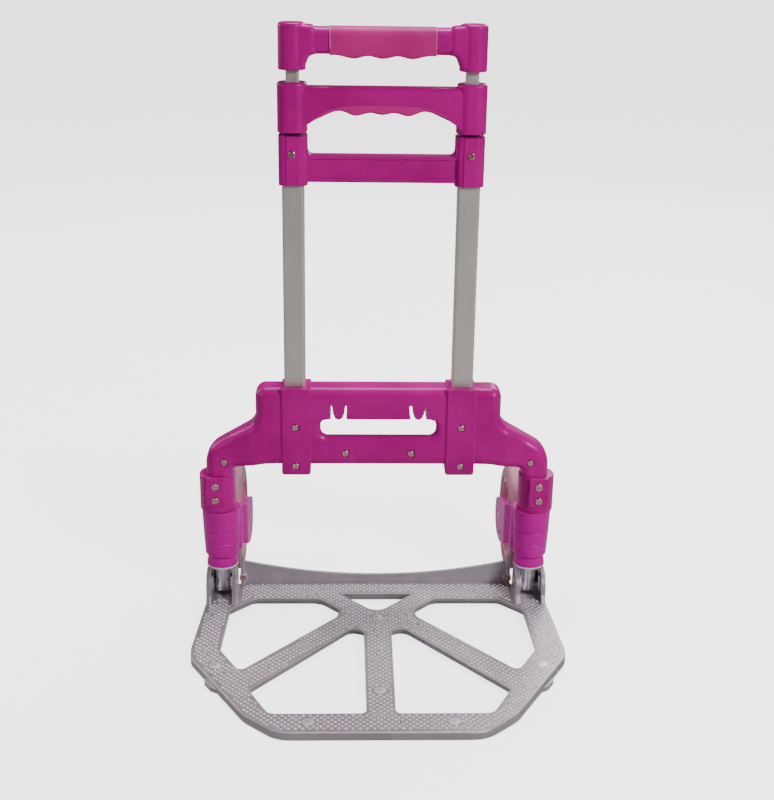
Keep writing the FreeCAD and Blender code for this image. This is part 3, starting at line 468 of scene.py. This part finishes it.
def plate_top_finder():
    """A test of whether a point, and a ring of points round it, lie on the plate's top."""
    mesh = NODES["toe_plate"].data
    tree = BVHTree.FromPolygons([v.co for v in mesh.vertices],
                                [tuple(p.vertices) for p in mesh.polygons])
    ring = [(math.cos(i * math.pi / 4), math.sin(i * math.pi / 4)) for i in range(8)]
    down = Vector((0, 0, -1))

    def on_top(x, y):
        for dx, dy in [(0, 0)] + ring:
            probe = Vector((x + dx * STUD_BORDER, y + dy * STUD_BORDER, PROBE_HEIGHT))
            place = tree.ray_cast(probe, down)[0]
            if place is None or abs(place.z - PLATE_TOP) > TOP_TOLERANCE:
                return False
        return True

    return on_top


def hinge_finder():
    """A test of whether a point lies under or close to a hinge bracket."""
    boxes = [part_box("hinge_bracket_" + side) for side in SIDES]

    def near_hinge(x, y):
        return any(low[0] - HINGE_BORDER < x < high[0] + HINGE_BORDER
                   and low[1] - HINGE_BORDER < y < high[1] + HINGE_BORDER
                   for low, high in boxes)

    return near_hinge


def stud_places(pads):
    """Where the studs stand: staggered rows, clear of edges, hinges and pads."""
    on_top = plate_top_finder()
    near_hinge = hinge_finder()
    low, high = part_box("toe_plate")
    rows = int((high[1] - low[1]) / STUD_ROW)
    columns = int(high[0] / STUD_PITCH) + 1
    for row in range(rows):
        y = low[1] + row * STUD_ROW
        shift = 0.5 * STUD_PITCH if row % 2 else 0.0
        for column in range(-columns, columns + 1):
            x = column * STUD_PITCH + shift
            clear = all(math.hypot(x - px, y - py) > PAD_RADIUS + STUD_RINGS[0][0]
                        for px, py in pads)
            if clear and not near_hinge(x, y) and on_top(x, y):
                yield x, y


def make_studs(bright, satin):
    """The rows of small studs on the toe plate, with smooth pads between them."""
    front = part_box("toe_plate")[0][1]
    pads = [(x * MM, front + y * MM) for x, y in PADS]
    verts, faces = [], []
    for x, y in stud_places(pads):
        add_dome(verts, faces, (x, y, PLATE_TOP), STUD_RINGS, STUD_HEIGHT, STUD_SIDES)
    # bright: the near-white stud finish, a painted highlight
    new_piece("plate_studs", verts, faces, bright, "toe_plate")
    verts, faces = [], []
    for x, y in pads:
        add_dome(verts, faces, (x, y, PLATE_TOP), PAD_RINGS, PAD_HEIGHT, PAD_SIDES)
    new_piece("plate_pads", verts, faces, satin, "toe_plate")


# ---------------------------------------------------------------- seams of the upper grip
SEAM_RADIUS = 0.45 * MM   # of the bead itself
SEAM_CORNER = 9.0 * MM    # of the loop that the bead follows
SEAM_INSET = 0.1 * MM
SEAM_LIFT = 3.0 * MM      # above the grip's lowest wave
CORNER_STEPS = 8


def rounded_loop(x, half_depth, z0, z1, radius):
    """Points round a rounded rectangle in the plane of one x."""
    points = []
    corners = [(half_depth - radius, z1 - radius, 0), (radius - half_depth, z1 - radius, 90),
               (radius - half_depth, z0 + radius, 180), (half_depth - radius, z0 + radius, 270)]
    for y, z, start in corners:
        for i in range(CORNER_STEPS + 1):
            turn = math.radians(start + 90 * i / CORNER_STEPS)
            points.append((x, y + radius * math.cos(turn), z + radius * math.sin(turn)))
    return points


def make_grip_seams(material):
    """The thin pale joints where the soft grip meets the upper handle."""
    low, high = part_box("upper_grip")
    middle_y = (low[1] + high[1]) / 2
    half_depth = (high[1] - low[1]) / 2 - SEAM_INSET
    for side, x in zip(SIDES, (low[0], high[0])):
        curve = bpy.data.curves.new("grip_seam_" + side, "CURVE")
        curve.dimensions = "3D"
        curve.bevel_depth = SEAM_RADIUS
        curve.bevel_resolution = 2
        points = rounded_loop(x, half_depth, low[2] + SEAM_LIFT, high[2] - SEAM_INSET,
                              SEAM_CORNER)
        spline = curve.splines.new("POLY")
        spline.points.add(len(points) - 1)
        for point, (px, py, pz) in zip(spline.points, points):
            point.co = (px, py + middle_y, pz, 1)
        spline.use_cyclic_u = True
        curve.materials.append(material)
        seam = bpy.data.objects.new("grip_seam_" + side, curve)
        bpy.context.collection.objects.link(seam)
        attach(seam, "upper_handle")


def main():
    """Build the looks round the frame."""
    make_camera()
    make_studio()
    dress_nodes(make_materials())
    # The studs take a near-white copy of the cast aluminium: a painted highlight against the
    # darker plate round them.
    make_studs(cast_metal("stud_painted_highlight", (0.92, 0.85, 0.90), (0.98, 0.93, 0.97), (0.26, 0.34), 0.05),
               cast_metal("pad_tops", (0.42, 0.37, 0.415), (0.55, 0.495, 0.545)))
    make_grip_seams(soft_grip("grip_seam", (0.62, 0.22, 0.40), (0.72, 0.30, 0.48)))


main()
